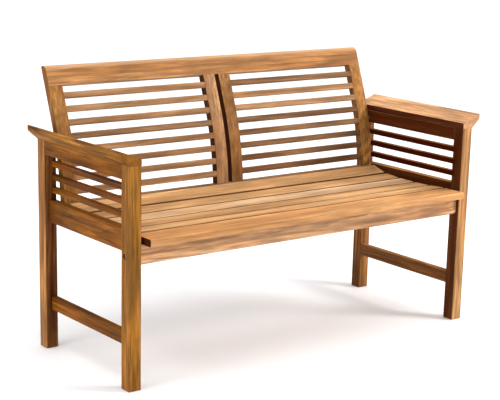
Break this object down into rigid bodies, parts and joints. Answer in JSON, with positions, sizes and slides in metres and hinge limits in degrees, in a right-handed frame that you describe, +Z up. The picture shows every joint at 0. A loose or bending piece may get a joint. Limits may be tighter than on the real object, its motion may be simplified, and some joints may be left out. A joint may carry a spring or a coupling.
{
  "type": "garden bench",
  "caption": "Hardwood garden bench with a slatted seat, a curved slatted back in two panels, and slatted sides under raised-edge arms.",
  "frame": {"origin": "on the ground, at the centre of the bench's bounding box seen from above", "axes": "+X along the bench to the right as seen from the front, +Y from the seat's front edge to the back, +Z up"},
  "size_m": [1.354, 0.5836, 0.8416],
  "materials": {
    "frame_wood": "oiled hardwood, mid brown, grain along each member",
    "back_wood": "oiled hardwood, mid brown, grain along each member",
    "seat_wood": "oiled hardwood, light golden brown, grain along each slat",
    "steel": "zinc-plated steel, matt",
    "brass": "dull brass"
  },
  "bodies": {
    "root": {"left_front_leg": "frame_wood", "right_front_leg": "frame_wood", "left_back_leg": "frame_wood", "right_back_leg": "frame_wood", "left_arm_cap": "frame_wood", "right_arm_cap": "frame_wood", "left_arm_rail": "frame_wood", "right_arm_rail": "frame_wood", "left_side_slat_1": "frame_wood", "left_side_slat_2": "frame_wood", "left_side_slat_3": "frame_wood", "right_side_slat_1": "frame_wood", "right_side_slat_2": "frame_wood", "right_side_slat_3": "frame_wood", "left_side_rail": "frame_wood", "right_side_rail": "frame_wood", "left_stretcher": "frame_wood", "right_stretcher": "frame_wood", "front_apron": "frame_wood", "rear_seat_rail": "frame_wood", "left_seat_bearer": "frame_wood", "middle_seat_bearer": "frame_wood", "right_seat_bearer": "frame_wood", "seat_slat_1": "seat_wood", "seat_slat_2": "seat_wood", "seat_slat_3": "seat_wood", "seat_slat_4": "seat_wood", "seat_slat_5": "seat_wood", "seat_slat_6": "seat_wood", "back_top_rail": "back_wood", "back_bottom_rail": "back_wood", "left_outer_stile": "back_wood", "left_inner_stile": "back_wood", "right_inner_stile": "back_wood", "right_outer_stile": "back_wood", "left_back_slat_1": "back_wood", "left_back_slat_2": "back_wood", "left_back_slat_3": "back_wood", "left_back_slat_4": "back_wood", "left_back_slat_5": "back_wood", "left_back_slat_6": "back_wood", "left_back_slat_7": "back_wood", "left_back_slat_8": "back_wood", "right_back_slat_1": "back_wood", "right_back_slat_2": "back_wood", "right_back_slat_3": "back_wood", "right_back_slat_4": "back_wood", "right_back_slat_5": "back_wood", "right_back_slat_6": "back_wood", "right_back_slat_7": "back_wood", "right_back_slat_8": "back_wood", "frame_bolts": "steel", "barrel_nuts": "steel", "back_lag_bolts": "steel", "spacer_washers": "steel", "bolt_plugs": "frame_wood", "cap_dowels": "frame_wood", "seat_screws": "brass", "bearer_screws": "brass"}
  },
  "joints": []
}
